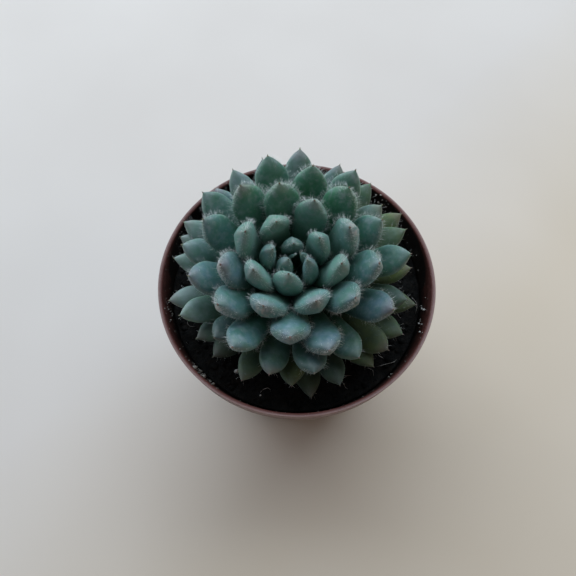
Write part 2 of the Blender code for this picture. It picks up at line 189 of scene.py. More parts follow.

# Painted shade: the share of brightness kept by leaves in the shade of others, most of them old ones low
# down
SHADED_LEAVES = {
    15: 0.85, 23: 0.8, 28: 0.85, 31: 0.5, 34: 0.4, 36: 0.75, 39: 0.85, 41: 0.48, 44: 0.3, 46: 0.85,
    47: 0.6, 49: 0.55, 50: 0.8, 52: 0.3, 55: 0.25, 57: 0.6, 60: 0.6, 62: 0.65, 63: 0.7, 65: 0.62,
}

# Kinds of bristle: name, number on a leaf in its prime, length against the longest kinds, part of
# the leaf's length where they grow, and spread about the margin in degrees
BRISTLE_KINDS = (
    ("margin", 230, 1.0, (0.42, 1.0), 14.0),
    ("tip", 60, 1.0, (0.90, 1.0), 32.0),
    ("face", 50, 0.45, (0.45, 0.97), None),
)
FRINGE_KIND = ("fringe", 60, 0.45, (0.72, 1.0), 7.0)
# The fringe hangs that many degrees below the margin, and margin bristles crowd towards the tip
FRINGE_ANGLE = 14.0
MARGIN_CROWDING = 0.6
BRISTLE_SEED = 11
BRISTLE_SIDES = 3
BRISTLE_RADIUS = 0.017 * MM
FRINGE_RADIUS = 0.028 * MM
BRISTLE_LENGTHS = (0.5 * MM, 1.5 * MM)
BRISTLE_LEAN = 0.5
BRISTLE_SCATTER = 0.16
BRISTLE_SINK = 3.0

# The youngest leaves have fewer and shorter bristles, up to leaf 10
BRISTLES_START = 4
BRISTLES_GROWN = 14.0
FEWEST_BRISTLES = 2
YOUNG_LENGTH = 0.4

# Old leaves lose theirs between two ages, all but a share, and those in front are also rubbed
BRISTLES_THIN_FROM = 0.31
BRISTLES_THIN_TO = 0.54
OLD_BRISTLES = 0.06
OLD_LENGTH = 0.7
FRONT_RUBBED = 0.35

# Leaves with a ragged fringe under one margin: 0 is the anticlockwise one, 1 the other
FRINGED_LEAVES = {12: 1, 13: 0, 15: 1, 16: 0, 21: 0, 23: 1}

# Share of their dry, beige underside that the other leaves have
SOUND_LEAF_DRYNESS = 0.40

# Loose lumps: how far they tip, in radians, how they are stretched and how knobbly they are
LUMP_TILT = 0.6
LUMP_WIDTHS = (0.7, 1.3)
LUMP_HEIGHTS = (0.7, 1.2)
LUMP_KNOBS = 1.3
LUMP_PATTERNS = 99

# Loose matter on the soil and on the pot. The powers make most of it small, and most specks lie low
SCATTER_SEED = 23
WALL_MARGIN = 0.9 * MM
CRUMB_COUNT = 1500
CRUMB_SIZES = (0.35 * MM, 1.7 * MM)
CRUMB_POWER = 3
CRUMB_SINK = 0.15
BARE_MIDDLE = 0.03
PERLITE_COUNT = 20
PERLITE_SIZES = (0.30 * MM, 1.0 * MM)
PERLITE_POWER = 2
PERLITE_RING = (0.84, 1.0)
PERLITE_LIFT = 0.1
PERLITE_ON_WALL = 6
PERLITE_WALL_LIFT = 0.35
PERLITE_WALL_ANGLES = (-26.0, -4.0)
PERLITE_WALL_RISE = 3.0 * MM
FIBRE_COUNT = 48
FIBRE_MARGIN = 1.0 * MM
FIBRE_AREA = (0.35, 1.0)
FIBRE_LENGTHS = (1.5 * MM, 5.0 * MM)
FIBRE_RADII = (0.025 * MM, 0.055 * MM)
FIBRE_POINTS = 7
FIBRE_SIDES = 5
FIBRE_END = 0.35
FIBRE_BEND = 0.5
FIBRE_WOBBLE = 0.3
FIBRE_LIFT = 0.12 * MM
FIBRE_ARCH = 0.35 * MM
DUST_COUNT = 320
DUST_PATCHES = (44.0, 49.0, 80.0, 156.0, 196.0, 227.0, 232.0)
DUST_PATCH_SPREAD = 3.5
DUST_SIZES = (0.09 * MM, 0.30 * MM)
CRUST_SIZES = (0.14 * MM, 0.80 * MM)
DUST_POWER = 3
DUST_HEIGHT_POWER = 1.6
DUST_BELOW_LIP = 0.3 * MM
DUST_LIFT = 0.15

# Stage. A light has a name, a place, a width and height, a power in watts and a colour
FLOOR_HALF = 0.9
LIGHT_AIM = Vector((0.0, 0.0, 50.0 * MM))
LIGHTS = (
    ("window", (-0.02, 0.58, 0.64), (1.40, 0.80), 11.8, (0.76, 0.90, 1.0)),
    ("side_window", (-0.62, 0.26, 0.30), (0.50, 0.40), 1.60, (0.80, 0.90, 1.0)),
    ("room", (0.36, -0.12, 0.26), (0.30, 0.30), 0.16, (1.0, 0.70, 0.42)),
)
SKY_COLOUR = (0.80, 0.86, 0.92, 1.0)
SKY_STRENGTH = 0.16

# Camera
CAMERA_PLACE = Vector((0.0, -43.8 * MM, 141.7 * MM))
CAMERA_AIM = Vector((-0.01601, 0.40337, -0.91490))
CAMERA_LENS = 32.5
CAMERA_SENSOR = 36.0
CAMERA_NEAR = 1.0 * MM


def mix(start, end, share):
    return start + (end - start) * share


def clamp(value):
    return min(max(value, 0.0), 1.0)


def curve(start, bend, end, t):
    """The curve of three points at t, from 0 at its start to 1 at its end."""
    return start * (1 - t) ** 2 + bend * (2 * t * (1 - t)) + end * t ** 2


def polar(radius, angle, height=0.0):
    return Vector((radius * math.cos(angle), radius * math.sin(angle), height))


def circle(radius, height, sides):
    return [polar(radius, math.tau * side / sides, height) for side in range(sides)]


def ring_round(centre, along, radius, sides):
    """A ring of points about a centre, square to a direction."""
    across = along.orthogonal().normalized()
    other = along.cross(across)
    angles = [math.tau * side / sides for side in range(sides)]
    return [centre + (across * math.cos(a) + other * math.sin(a)) * radius for a in angles]


def closed_loft(rings, sides, first=0):
    """Faces that join rings of points and close both ends. The first point has index first."""
    faces = []
    for ring in range(rings - 1):
        start = first + ring * sides
        for side in range(sides):
            after = (side + 1) % sides
            faces.append((start + side, start + after, start + sides + after, start + sides + side))
    last = first + (rings - 1) * sides
    faces.append(tuple(reversed(range(first, first + sides))))
    faces.append(tuple(range(last, last + sides)))
    return faces


def inside_out(faces):
    return [tuple(reversed(face)) for face in faces]


def new_object(name, data):
    item = bpy.data.objects.new(name, data)
    bpy.context.scene.collection.objects.link(item)
    return item


def new_piece(name, vertices, faces, material, smooth=True):
    mesh = bpy.data.meshes.new(name)
    mesh.from_pydata([tuple(v) for v in vertices], [], faces)
    mesh.validate()
    mesh.materials.append(material)
    if smooth:
        mesh.shade_smooth()
    return new_object(name, mesh)


def add_values(piece, name, values):
    """Give each point of a piece a number for its material to read."""
    layer = piece.data.attributes.new(name, "FLOAT", "POINT")
    layer.data.foreach_set("value", np.array(values, dtype=np.float32))


# Materials

class Nodes:
    """A material's nodes, made and joined with short calls."""

    def __init__(self, name):
        self.material = bpy.data.materials.new(name)
        self.material.use_nodes = True
        self.tree = self.material.node_tree
        self.shader = self.tree.nodes["Principled BSDF"]
        self.place = self.node("TexCoord").outputs["Object"]

    def node(self, kind):
        return self.tree.nodes.new("ShaderNode" + kind)

    def link(self, source, target):
        self.tree.links.new(source, target)

    def noise(self, size, detail=3.0, stretch=None):
        """A noise with blobs of about that size in metres."""
        texture = self.node("TexNoise")
        texture.inputs["Scale"].default_value = 1.0 / size
        texture.inputs["Detail"].default_value = detail
        where = self.place
        if stretch:
            mapping = self.node("Mapping")
            mapping.inputs["Scale"].default_value = stretch
            self.link(where, mapping.inputs["Vector"])
            where = mapping.outputs["Vector"]
        self.link(where, texture.inputs["Vector"])
        return texture.outputs["Fac"]

    def ramp(self, source, low, high, start=0.0, end=1.0):
        """Map low..high of a value to start..end, held at both ends."""
        node = self.node("MapRange")
        for name, value in (("From Min", low), ("From Max", high), ("To Min", start), ("To Max", end)):
            node.inputs[name].default_value = value
        self.link(source, node.inputs["Value"])
        return node.outputs["Result"]

    def math(self, operation, first, second):
        node = self.node("Math")
        node.operation = operation
        for value, socket in zip((first, second), node.inputs):
            if isinstance(value, (int, float)):
                socket.default_value = value
            else:
                self.link(value, socket)
        return node.outputs[0]

    def times(self, *values):
        """The product of numbers and other nodes' outputs."""
        product = values[0]
        for value in values[1:]:
            product = self.math("MULTIPLY", product, value)
        return product

    def blend(self, share, first, second):
        """A colour between two, each a colour or another node's output."""
        node = self.node("Mix")
        node.data_type = "RGBA"
        self.link(share, node.inputs[0])
        for value, socket in zip((first, second), (node.inputs[6], node.inputs[7])):
            if isinstance(value, tuple):
                socket.default_value = (*value, 1.0)
            else:
                self.link(value, socket)
        return node.outputs[2]

    def attribute(self, name):
        node = self.node("Attribute")
        node.attribute_name = name
        return node

    def axes(self):
        """The X, Y and Z of each point of the surface, in metres."""
        node = self.node("SeparateXYZ")
        self.link(self.place, node.inputs["Vector"])
        return node.outputs

    def bump(self, height, depth, strength=1.0):
        node = self.node("Bump")
        node.inputs["Distance"].default_value = depth
        node.inputs["Strength"].default_value = strength
        self.link(height, node.inputs["Height"])
        self.link(node.outputs["Normal"], self.shader.inputs["Normal"])

    def colour(self, source):
        self.link(source, self.shader.inputs["Base Color"])

    def roughness(self, source):
        self.link(source, self.shader.inputs["Roughness"])

    def set(self, socket, value):
        """Give one of the shader's own sockets the same value all over the surface."""
        self.shader.inputs[socket].default_value = value


def mottled(name, size, detail, first, second, rough, low=0.3, high=0.7):
    """A material that varies between two colours in patches of about that size."""
    nodes = Nodes(name)
    shade = nodes.ramp(nodes.noise(size, detail), low, high)
    nodes.colour(nodes.blend(shade, first, second))
    nodes.set("Roughness", rough)
    return nodes


def bare_skin(skin, along, aged_and_shaded):
    """The skin where it has no bloom: green, and olive on old leaves, where on the right and front the olive
    is also painted shade and warm light. Towards the root it darkens to deep green, painted shade
    between the leaves.
    """
    blotches = skin.ramp(skin.noise(2.2 * MM), 0.35, 0.65)
    green = skin.blend(blotches, (0.022, 0.146, 0.044), (0.018, 0.116, 0.050))
    olive = skin.blend(blotches, (0.104, 0.136, 0.026), (0.066, 0.104, 0.034))
    bare = skin.blend(aged_and_shaded, green, olive)
    # Painted shade: the skin darkens to deep green towards the root, where the leaves shade each other
    return skin.blend(skin.ramp(along, 0.30, 0.75), (0.004, 0.062, 0.022), bare)


def bloom_colour(skin, x, y, age, chance):
    """The waxy bloom: blue-grey, and bluer in front.

    In front the blue is a painted reflection of the cool window light. It is pale on the outer leaves at
    the left, as painted light, and on the outer ones at the back. On the shaded inner ones at the back it
    is green, painted shade with light shining through the leaves.
    """
    bloom = skin.blend(chance, (0.084, 0.188, 0.190), (0.108, 0.190, 0.240))
    # Painted reflection: the bloom is bluer in front, where the cool window light glances off the wax
    front = skin.ramp(y, -14.0 * MM, 0.0, 0.45, 0.0)
    bloom = skin.blend(front, bloom, (0.112, 0.186, 0.254))
    # Painted light: the outer leaves at the left are paler, where the window light falls on them
    lit_outer_left = skin.times(skin.ramp(age, 0.58, 0.66), skin.ramp(x, -21.0 * MM, -12.0 * MM, 0.9, 0.0))
    bloom = skin.blend(lit_outer_left, bloom, (0.275, 0.352, 0.345))
    outer = skin.times(skin.ramp(age, 0.42, 0.55), skin.ramp(age, 0.70, 0.76, 1.0, 0.0))
    outer_back = skin.times(outer, skin.ramp(y, 4.0 * MM, 12.0 * MM, 0.0, 0.80))
    bloom = skin.blend(outer_back, bloom, (0.205, 0.272, 0.268))
    # Painted shade: the inner leaves at the back, turned away from the windows, are green, with light
    # shining through them
    shaded_back_leaves = skin.times(skin.ramp(y, 2.0 * MM, 9.0 * MM), skin.ramp(age, 0.30, 0.62, 1.0, 0.0))
    return skin.blend(shaded_back_leaves, bloom, (0.050, 0.188, 0.106))


def leaf_marks(skin, colour, along, rim, chance, under):
    """A pale margin, a pink tip, a dry beige underside, a hard brown point and freckles."""
    pale = skin.times(skin.ramp(rim, 0.88, 1.0), skin.ramp(along, 0.50, 0.80, 0.0, 0.22))
    colour = skin.blend(pale, colour, (0.270, 0.330, 0.270))
    blush = skin.times(skin.ramp(along, 0.90, 1.0, 0.0, 0.60), skin.ramp(chance, 0.0, 1.0, 0.4, 1.0))
    colour = skin.blend(blush, colour, (0.225, 0.125, 0.140))
    dry = skin.times(skin.ramp(along, 0.72, 0.96), skin.ramp(under, 0.08, 0.90, 0.0, 0.85),
                     skin.ramp(skin.noise(0.8 * MM, 5.0), 0.41, 0.58))
    colour = skin.blend(dry, colour, (0.400, 0.355, 0.325))
    point = skin.ramp(along, 1.0, 1.01)
    colour = skin.blend(point, colour, (0.150, 0.078, 0.070))
    freckle = skin.ramp(skin.noise(0.55 * MM, 1.0), 0.66, 0.76, 0.0, 0.25)
    return skin.blend(freckle, colour, (0.240, 0.320, 0.300))


def leaf_material():
    """Fleshy skin: bare green near the root, and a patchy, frosted bloom towards the tip.

    Leaves are pale green when young, and the inner ones paler still as painted light. Old ones have lost
    their bloom and turned olive and more matt, but not on the side towards the windows: on the right and
    front the olive and darker skin is also painted shade and warm light.
    """
    skin = Nodes("leaf_skin")
    place = skin.attribute("leaf_place")
    split = skin.node("SeparateColor")
    skin.link(place.outputs["Color"], split.inputs["Color"])
    along, rim, age = split.outputs
    chance = skin.attribute("leaf_chance").outputs["Fac"]
    under = skin.attribute("leaf_under").outputs["Fac"]
    x, y, _ = skin.axes()
    # Old leaves lose their bloom and turn olive; on the right and front this olive, darker skin is also
    # painted shade and warm light
    turned = skin.math("SUBTRACT", x, y)
    aged_and_shaded = skin.times(skin.ramp(age, 0.45, 0.85), skin.ramp(turned, -20.0 * MM, 6.0 * MM))

    patchy = skin.ramp(skin.noise(2.4 * MM, 6.0), 0.36, 0.62, 0.55, 1.0)
    waxed = skin.times(skin.ramp(along, 0.42, 0.84, 0.10, 1.0), patchy, skin.ramp(aged_and_shaded, 0.0, 1.0, 1.0, 0.08))
    colour = skin.blend(waxed, bare_skin(skin, along, aged_and_shaded), bloom_colour(skin, x, y, age, chance))
    # Young leaves are paler green; the inner ones are made paler still as painted light from above
    young = skin.times(skin.ramp(age, 0.05, 0.10, 0.20, 0.80), skin.ramp(age, 0.11, 0.28, 1.0, 0.0),
                       skin.ramp(along, 0.30, 0.85, 0.25, 1.0))
    colour = skin.blend(young, colour, (0.145, 0.304, 0.238))
    frost = skin.times(skin.ramp(skin.noise(1.0 * MM, 5.0), 0.46, 0.70, 0.0, 0.55), waxed)
    colour = skin.blend(frost, colour, (0.262, 0.312, 0.325))
    colour = leaf_marks(skin, colour, along, rim, chance, under)
    # Painted shade: leaves in the shade of others are darkened towards near black by the brightness they
    # keep
    skin.colour(skin.blend(place.outputs["Alpha"], (0.006, 0.012, 0.009), colour))

    rough = skin.ramp(skin.noise(1.2 * MM), 0.3, 0.7, 0.38, 0.54)
    skin.roughness(skin.math("ADD", rough, skin.ramp(aged_and_shaded, 0.0, 1.0, 0.0, 0.22)))
    skin.bump(skin.noise(0.60 * MM, 5.0), 0.08 * MM, 0.6)
    skin.set("Specular IOR Level", 0.50)
    skin.set("Sheen Weight", 0.15)
    skin.set("Sheen Roughness", 0.45)
    skin.set("Sheen Tint", (0.60, 0.95, 0.90, 1.0))
    skin.set("Subsurface Weight", 0.35)
    skin.set("Subsurface Radius", (0.6, 1.0, 0.6))
    skin.set("Subsurface Scale", 2.0 * MM)
    return skin.material


def bristle_material():
    """White hairs that let light through."""
    bristle = mottled("bristle", 1.5 * MM, 3.0, (0.50, 0.56, 0.52), (0.70, 0.70, 0.66), 0.45)
    bristle.set("Subsurface Weight", 1.0)
    bristle.set("Subsurface Radius", (1.0, 1.0, 1.0))
    bristle.set("Subsurface Scale", 0.1 * MM)
    return bristle.material


def stem_material():
    stem = mottled("stem_bark", 1.4 * MM, 4.0, (0.060, 0.052, 0.026), (0.120, 0.130, 0.060), 0.75)
    stem.bump(stem.noise(0.8 * MM, 4.0, (1.0, 1.0, 0.3)), 0.2 * MM)
    return stem.material


def perlite_material():
    perlite = mottled("perlite", 0.5 * MM, 4.0, (0.42, 0.39, 0.36), (0.80, 0.78, 0.75), 0.9)
    perlite.bump(perlite.noise(0.22 * MM, 3.0), 0.1 * MM)
    return perlite.material


def dust_material():
    return mottled("dust", 0.4 * MM, 2.0, (0.05, 0.04, 0.035), (0.42, 0.39, 0.35), 0.95, 0.35, 0.65).material


def fibre_material():
    return mottled("root_fibre", 2.0 * MM, 3.0, (0.12, 0.09, 0.07), (0.42, 0.38, 0.35), 0.8).material


def soil_material():
    """Peat: near black and matt, with brown crumbs and specks of grey grit."""
    soil = Nodes("soil_mix")
    brown = soil.ramp(soil.noise(0.9 * MM, 5.0), 0.48, 0.72)
    colour = soil.blend(brown, (0.0016, 0.0013, 0.0012), (0.007, 0.0045, 0.003))
    grey = soil.ramp(soil.noise(0.30 * MM, 2.0), 0.68, 0.78, 0.0, 0.5)
    soil.colour(soil.blend(grey, colour, (0.028, 0.024, 0.022)))
    soil.roughness(soil.ramp(soil.noise(1.6 * MM, 3.0), 0.3, 0.7, 0.65, 0.95))
    soil.set("Specular IOR Level", 0.15)
    soil.bump(soil.noise(0.35 * MM, 6.0), 0.25 * MM)
    return soil.material


def pot_material():
    """Thin moulded plastic: mauve-brown and satin, with dust in its pores, scuffs and a rubbed lip whose
    pale edge is also a painted highlight.

    Soil stains the inner wall, darker with depth, and that darkening is also painted shade within the pot.
    The painted shade is strongest at the back, away from the windows, where the wall is dark nearly to the
    lip.
    """
    pot = Nodes("pot_plastic")
    cloud = pot.ramp(pot.noise(9.0 * MM, 4.0), 0.35, 0.65)
    colour = pot.blend(cloud, (0.115, 0.038, 0.032), (0.148, 0.054, 0.047))
    scuffs = pot.noise(1.6 * MM, 3.0, (1.0, 1.0, 6.0))
    colour = pot.blend(pot.ramp(scuffs, 0.58, 0.74, 0.0, 0.25), colour, (0.25, 0.14, 0.125))
    dust = pot.ramp(pot.noise(0.28 * MM, 1.0), 0.68, 0.78, 0.0, 0.5)
    colour = pot.blend(dust, colour, (0.36, 0.28, 0.26))
    # The pale line along the lip's outer edge is rubbed wear and also a painted highlight on its rounded
    # edge
    rubbed = pot.times(pot.attribute("worn_and_highlit_edge").outputs["Fac"],
                       pot.ramp(pot.noise(0.7 * MM, 3.0), 0.30, 0.70, 0.36, 0.56))
    colour = pot.blend(rubbed, colour, (0.42, 0.27, 0.25))
    # Painted shade: the inner wall is darker towards the back, away from the windows, on top of its stains
    shade_at_back = pot.ramp(pot.axes()["Y"], 0.0, 13.0 * MM, 1.0, 6.0)
    stained_and_shaded = pot.times(pot.attribute("soil_stain_and_shade").outputs["Fac"], shade_at_back)
    ragged = pot.math("ADD", stained_and_shaded, pot.ramp(pot.noise(1.1 * MM, 4.0), 0.3, 0.7, -0.15, 0.15))
    colour = pot.blend(pot.ramp(ragged, 0.06, 0.50, 0.0, 0.80), colour, (0.024, 0.008, 0.005))
    pot.colour(pot.blend(pot.ramp(ragged, 0.60, 0.95), colour, (0.006, 0.004, 0.003)))
    pot.roughness(pot.ramp(pot.noise(2.4 * MM, 4.0), 0.3, 0.7, 0.34, 0.50))
    pot.set("Specular IOR Level", 0.35)
    pot.bump(pot.noise(0.5 * MM, 3.0), 0.03 * MM, 0.6)
    return pot.material


def floor_material():
    """A plain pale floor, a little warmer and darker towards the right and the front,
    as painted fall-off of the light.
    """
    floor = Nodes("floor")
    x, y, _ = floor.axes()
    away = floor.math("SUBTRACT", x, y)
    shade = floor.ramp(floor.noise(60.0 * MM, 2.0), 0.35, 0.65)
    cool = floor.blend(shade, (0.680, 0.600, 0.555), (0.710, 0.630, 0.585))
    warm = floor.blend(shade, (0.650, 0.535, 0.425), (0.680, 0.565, 0.460))
    # Painted shade: the floor turns warmer and darker towards the right and front, where the light falls off
    floor.colour(floor.blend(floor.ramp(away, -45.0 * MM, 50.0 * MM), cool, warm))
    floor.set("Roughness", 0.7)
    return floor.material


# Pot

def inner_radius(height):
    """The pot's inner wall: a straight cone from the floor to the lip."""
    share = (height - FLOOR_TOP) / (POT_HEIGHT - FLOOR_TOP)
    return mix(INNER_FLOOR_RADIUS, RIM_RADIUS - LIP_WIDTH, share)


def rounded(corners):
    """A section's outline: each corner is (radius, height, rounding), and becomes a short arc."""
    outline = []
    count = len(corners)
    for index, (radius, height, rounding) in enumerate(corners):
        corner = Vector((radius, height))
        if rounding == 0.0:
            outline.append(corner)
            continue
        before = Vector(corners[index - 1][:2])
        after = Vector(corners[(index + 1) % count][:2])
        start = corner + (before - corner).normalized() * rounding
        end = corner + (after - corner).normalized() * rounding
        for step in range(ROUNDING_STEPS + 1):
            outline.append(curve(start, corner, end, step / ROUNDING_STEPS))
    return outline


def pot_section():
    """The pot's section as (radius, height), from the recess under it, up outside and down inside."""
    band_foot = POT_HEIGHT - BAND_HEIGHT
    base_radius = inner_radius(0.0) + WALL
    foot_inner = base_radius - FOOT_WIDTH
    corners = [
        (foot_inner - 0.5 * FOOT_RECESS, FOOT_RECESS, 0.2 * MM),
        (foot_inner, 0.0, 0.15 * MM),
        (base_radius, 0.0, 0.3 * MM),
        (inner_radius(band_foot) + WALL, band_foot, 0.2 * MM),
        (RIM_RADIUS - BAND_DRAFT, band_foot + BAND_STEP, 0.2 * MM),
        (RIM_RADIUS, POT_HEIGHT, 0.15 * MM),
        (RIM_RADIUS - LIP_WIDTH, POT_HEIGHT - LIP_SLOPE, 0.30 * MM),
        (inner_radius(POT_HEIGHT - STAIN_AND_SHADE_DEPTH), POT_HEIGHT - STAIN_AND_SHADE_DEPTH, 0.0),
        (inner_radius(FLOOR_TOP), FLOOR_TOP, FLOOR_FILLET),
    ]
    return rounded(corners)


def drain_cutter():
    """The plugs that cut the drain holes, as one object."""
    cutter = bmesh.new()
    for hole in range(DRAIN_HOLES):
        turn = Matrix.Rotation(math.tau * (hole + 0.5) / DRAIN_HOLES, 4, "Z")
        place = turn @ Matrix.Translation((DRAIN_CIRCLE_RADIUS, 0.0, 0.5 * FLOOR_TOP))
        bmesh.ops.create_cone(
            cutter, cap_ends=True, segments=DRAIN_HOLE_SIDES, radius1=DRAIN_HOLE_RADIUS,
            radius2=DRAIN_HOLE_RADIUS, depth=DRAIN_CUT_DEPTH, matrix=place)
    mesh = bpy.data.meshes.new("drain_cutter")
    cutter.to_mesh(mesh)
    cutter.free()
    return new_object("drain_cutter", mesh)


def make_pot(material):
    """The pot. Its points know how deep they lie on the inner wall, for the soil stains and painted shade,
    and which are on the rubbed lip with its painted highlight.
    """
    vertices = []
    stain_and_shade = []
    worn_and_highlit = []
    section = pot_section()
    for radius, height in section:
        within = radius < inner_radius(height) + ON_WALL and height > FLOOR_TOP - ON_FLOOR
        stain_and_shade += [min((POT_HEIGHT - height) / STAIN_AND_SHADE_DEPTH, 1.0) if within else 0.0] * POT_SIDES
        on_edge = radius > RIM_RADIUS - WORN_AND_HIGHLIT_WIDTH and height > POT_HEIGHT - WORN_AND_HIGHLIT_WIDTH
        worn_and_highlit += [1.0 if on_edge else 0.0] * POT_SIDES
        near_lip = clamp((height / POT_HEIGHT - LIP_WAVE_FROM) / (1.0 - LIP_WAVE_FROM))
        for point in circle(radius, height, POT_SIDES):
            wave = noise.noise(Vector((point.x, point.y, 0.0)) / LIP_WAVE_SIZE) * LIP_WAVE * near_lip
            vertices.append(point - Vector((0.0, 0.0, abs(wave))))
    pot = new_piece("nursery_pot", vertices, closed_loft(len(section), POT_SIDES), material)
    add_values(pot, "soil_stain_and_shade", stain_and_shade)
    add_values(pot, "worn_and_highlit_edge", worn_and_highlit)
    cutter = drain_cutter()
    cut = pot.modifiers.new("drain_holes", "BOOLEAN")
    cut.operation = "DIFFERENCE"
    cut.object = cutter
    bpy.context.view_layer.objects.active = pot
    bpy.ops.object.modifier_apply(modifier=cut.name)
    bpy.data.objects.remove(cutter, do_unlink=True)
    pot.data.set_sharp_from_angle(angle=SHARP_ANGLE)
    return pot


# Soil

def soil_height(point):
    """Height of the soil's surface, with a low mound at the stem, lumps, crumbs and grit."""
    away = min(point.length / inner_radius(SOIL_LEVEL), 1.0)
    lumps = LUMP_HEIGHT * noise.noise(point / LUMP_SIZE)
    crumbs = CRUMB_HEIGHT * noise.noise(point / CRUMB_SIZE)
    grit = GRIT_HEIGHT * noise.noise(point / GRIT_SIZE)
    return SOIL_LEVEL - SOIL_MOUND * away * away + lumps + crumbs + grit


def make_soil(material):
    """The soil: a rough top, a plain hole for the stem, and sides and a bottom just clear of the pot."""
    bottom = FLOOR_TOP + SOIL_GAP
    foot = Vector((STEM_FOOT.x, STEM_FOOT.y, 0.0))
    hole_foot = foot + Vector((0.0, 0.0, SOIL_LEVEL - HOLE_DEPTH))
    wall_radius = inner_radius(SOIL_LEVEL - SOIL_MOUND) - SOIL_GAP
    near_ring = circle(HOLE_RADIUS, 0.0, POT_SIDES)
    far_ring = circle(wall_radius, 0.0, POT_SIDES)
    vertices = [point + hole_foot for point in near_ring]
    for ring in range(SOIL_RINGS + 1):
        for near, far in zip(near_ring, far_ring):
            point = mix(near + foot, far, ring / SOIL_RINGS)
            height = soil_height(point)
            if ring == SOIL_RINGS:
                point *= (inner_radius(height) - SOIL_GAP) / wall_radius
            vertices.append(Vector((point.x, point.y, height)))
    vertices += circle(inner_radius(bottom + FLOOR_FILLET) - SOIL_GAP, bottom + FLOOR_FILLET, POT_SIDES)
    vertices += circle(inner_radius(bottom) - SOIL_GAP - FLOOR_FILLET, bottom, POT_SIDES)
    faces = inside_out(closed_loft(len(vertices) // POT_SIDES, POT_SIDES))
    return new_piece("potting_soil", vertices, faces, material)


def lump_shape(rounds):
    """Points and faces of a ball to be bent into a crumb or a grain."""
    ball = bmesh.new()
    bmesh.ops.create_icosphere(ball, subdivisions=rounds, radius=1.0)
    points = [v.co.copy() for v in ball.verts]
    faces = [tuple(v.index for v in face.verts) for face in ball.faces]
    ball.free()
    return points, faces


def make_lumps(name, places, material, rounds, draws, flat=0.7, rough=0.35):
    """One piece made of irregular lumps: places holds (centre, size) pairs."""
    points, ball_faces = lump_shape(rounds)
    vertices = []
    faces = []
    for centre, size in places:
        first = len(vertices)
        turn = Matrix.Rotation(draws.uniform(0, math.tau), 3, "Z")
        turn = turn @ Matrix.Rotation(draws.uniform(-LUMP_TILT, LUMP_TILT), 3, "X")
        wide, deep, tall = (draws.uniform(*span) for span in (LUMP_WIDTHS, LUMP_WIDTHS, LUMP_HEIGHTS))
        stretch = Matrix.Diagonal((wide, deep, tall * flat))
        offset = Vector((draws.uniform(0, LUMP_PATTERNS), draws.uniform(0, LUMP_PATTERNS), 0.0))
        for point in points:
            swell = 1.0 + rough * noise.noise(point * LUMP_KNOBS + offset)
            vertices.append(centre + turn @ (stretch @ point * swell * size * 0.5))
        faces += [tuple(first + index for index in face) for face in ball_faces]
    return new_piece(name, vertices, faces, material)


def on_soil(radius, angle, sink=0.0):
    """A place on the soil, or as far under its surface as sink says."""
    point = polar(radius, angle)
    point.z = soil_height(point) - sink
    return point


def on_wall(angle, height, lift):
    """A place on the pot's inner wall, or as far in front of it as lift says."""
    return polar(inner_radius(height) - lift, angle, height)


def make_crumbs(material, draws):
    """Crumbs of peat, most of them small, partly sunk in the soil."""
    reach = inner_radius(SOIL_LEVEL) - WALL_MARGIN
    places = []
    for _ in range(CRUMB_COUNT):
        radius = reach * math.sqrt(draws.uniform(BARE_MIDDLE, 1.0))
        size = mix(*CRUMB_SIZES, draws.random() ** CRUMB_POWER)
        radius = min(radius, reach - 0.5 * size)
        places.append((on_soil(radius, draws.uniform(0, math.tau), CRUMB_SINK * size), size))
    return make_lumps("soil_crumbs", places, material, 2, draws)


def make_perlite(material, draws):
    """White grains: a few on the wall at the right, the rest on the soil near the wall."""
    reach = inner_radius(SOIL_LEVEL) - WALL_MARGIN
    places = []
    for grain in range(PERLITE_COUNT):
        size = mix(*PERLITE_SIZES, draws.random() ** PERLITE_POWER)
        if grain < PERLITE_ON_WALL:
            angle = math.radians(draws.uniform(*PERLITE_WALL_ANGLES))
            height = SOIL_LEVEL + draws.uniform(0.0, PERLITE_WALL_RISE)
            places.append((on_wall(angle, height, PERLITE_WALL_LIFT * size), size))
        else:
            angle = draws.uniform(0.0, math.tau)
            radius = reach * draws.uniform(*PERLITE_RING) - 0.5 * size
            places.append((on_soil(radius, angle, -PERLITE_LIFT * size), size))
    return make_lumps("perlite_grains", places, material, 2, draws, flat=0.9, rough=0.5)


def add_tube(vertices, faces, points, radius):
    """One thin closed tube along points, narrower at both ends."""
    faces += closed_loft(len(points), FIBRE_SIDES, len(vertices))
    end = len(points) - 1
    for index, point in enumerate(points):
        along = (points[min(index + 1, end)] - points[max(index - 1, 0)]).normalized()
        size = radius * (FIBRE_END if index in (0, end) else 1.0)
        vertices += ring_round(point, along, size, FIBRE_SIDES)


def fibre_route(draws):
    """Points of one fibre: it wanders over the soil, slightly arched, and keeps off the wall."""
    reach = inner_radius(SOIL_LEVEL) - FIBRE_MARGIN
    radius = reach * math.sqrt(draws.uniform(*FIBRE_AREA))
    angle = draws.uniform(0, math.tau)
    heading = draws.uniform(0, math.tau)
    bend = draws.uniform(-FIBRE_BEND, FIBRE_BEND)
    step = draws.uniform(*FIBRE_LENGTHS) / (FIBRE_POINTS - 1)
    place = polar(radius, angle)
    points = []
    for index in range(FIBRE_POINTS):
        flat = place.normalized() * reach if place.length > reach else place
        arch = FIBRE_ARCH * math.sin(math.pi * index / (FIBRE_POINTS - 1))
        points.append(Vector((flat.x, flat.y, soil_height(flat) + FIBRE_LIFT + arch)))
        heading += bend + draws.uniform(-FIBRE_WOBBLE, FIBRE_WOBBLE)
        place = place + polar(step, heading)
    return points


def make_fibres(material, draws):
    """Fine root and peat fibres on the soil."""
    vertices = []
    faces = []
    for _ in range(FIBRE_COUNT):
        points = fibre_route(draws)
        add_tube(vertices, faces, points, draws.uniform(*FIBRE_RADII))
    return new_piece("root_fibres", vertices, faces, material)


